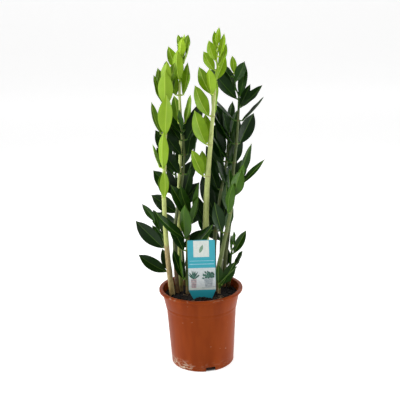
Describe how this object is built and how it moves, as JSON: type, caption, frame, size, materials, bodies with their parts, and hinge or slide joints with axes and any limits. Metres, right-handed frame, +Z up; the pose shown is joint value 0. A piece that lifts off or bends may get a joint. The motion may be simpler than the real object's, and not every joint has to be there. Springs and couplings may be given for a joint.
{
  "type": "potted zz plant",
  "caption": "Upright plant with thick stems and paired glossy leaflets, rooted in soil in a tapered round nursery pot with a rolled rim; a plain printed tag stands in the soil.",
  "frame": {"origin": "centre of the pot's flat underside, on the surface the pot stands on", "axes": "+Z up along the pot's axis; -Y towards the front, where the plant tag faces; +X to the right seen from the front"},
  "size_m": [0.2599, 0.1825, 0.6712],
  "materials": {
    "pot_plastic": "satin terracotta moulded plastic, faintly scuffed at the foot and rim",
    "potting_soil": "dark crumbly peat with fibres and bits of bark",
    "tag_plastic": "printed turquoise, with a plain white square, a ring and a pale picture of two potted plants",
    "young_leaf": "glossy fresh lime green with a pale midrib",
    "middle_leaf": "glossy mid green with fine veins",
    "old_leaf": "waxy glossy dark green",
    "young_stem": "satin pale yellow-green, finely speckled",
    "middle_stem": "satin olive green with dark flecks",
    "old_stem": "satin olive brown with dark flecks"
  },
  "bodies": {
    "root": {"centre_middle_crown": "middle_leaf", "centre_middle_leaflets_1": "middle_leaf", "centre_middle_leaflets_2": "middle_leaf", "centre_middle_leaflets_3": "middle_leaf", "centre_middle_stem": "middle_stem", "left_low_crown": "old_leaf", "left_low_leaflets_1": "old_leaf", "left_low_leaflets_2": "old_leaf", "left_low_stem": "old_stem", "old_behind_crown": "old_leaf", "old_behind_leaflets_1": "old_leaf", "old_behind_leaflets_2": "old_leaf", "old_behind_leaflets_3": "old_leaf", "old_behind_leaflets_4": "old_leaf", "old_behind_stem": "old_stem", "old_left_back_crown": "old_leaf", "old_left_back_stem": "old_stem", "old_left_tall_crown": "old_leaf", "old_left_tall_leaflets_1": "old_leaf", "old_left_tall_leaflets_2": "old_leaf", "old_left_tall_leaflets_3": "old_leaf", "old_left_tall_leaflets_4": "old_leaf", "old_left_tall_stem": "old_stem", "old_right_back_crown": "old_leaf", "old_right_back_stem": "old_stem", "old_right_tall_crown": "old_leaf", "old_right_tall_leaflets_1": "old_leaf", "old_right_tall_leaflets_2": "old_leaf", "old_right_tall_leaflets_3": "old_leaf", "old_right_tall_leaflets_4": "old_leaf", "old_right_tall_stem": "old_stem", "plant_tag": "tag_plastic", "pot": "pot_plastic", "right_front_crown": "middle_leaf", "right_front_leaflets_1": "middle_leaf", "right_front_leaflets_2": "middle_leaf", "right_front_leaflets_3": "middle_leaf", "right_front_stem": "middle_stem", "right_low_crown": "middle_leaf", "right_low_leaflets_1": "middle_leaf", "right_low_stem": "middle_stem", "right_sprout_crown": "middle_leaf", "right_sprout_stem": "middle_stem", "soil": "potting_soil", "young_centre_crown": "young_leaf", "young_centre_leaflets_1": "young_leaf", "young_centre_leaflets_2": "young_leaf", "young_centre_leaflets_3": "young_leaf", "young_centre_leaflets_4": "young_leaf", "young_centre_stem": "young_stem", "young_left_crown": "young_leaf", "young_left_leaflets_1": "young_leaf", "young_left_leaflets_2": "young_leaf", "young_left_leaflets_3": "young_leaf", "young_left_stem": "young_stem", "young_middle_crown": "young_leaf", "young_middle_leaflets_1": "young_leaf", "young_middle_leaflets_2": "young_leaf", "young_middle_stem": "young_stem"}
  },
  "joints": []
}
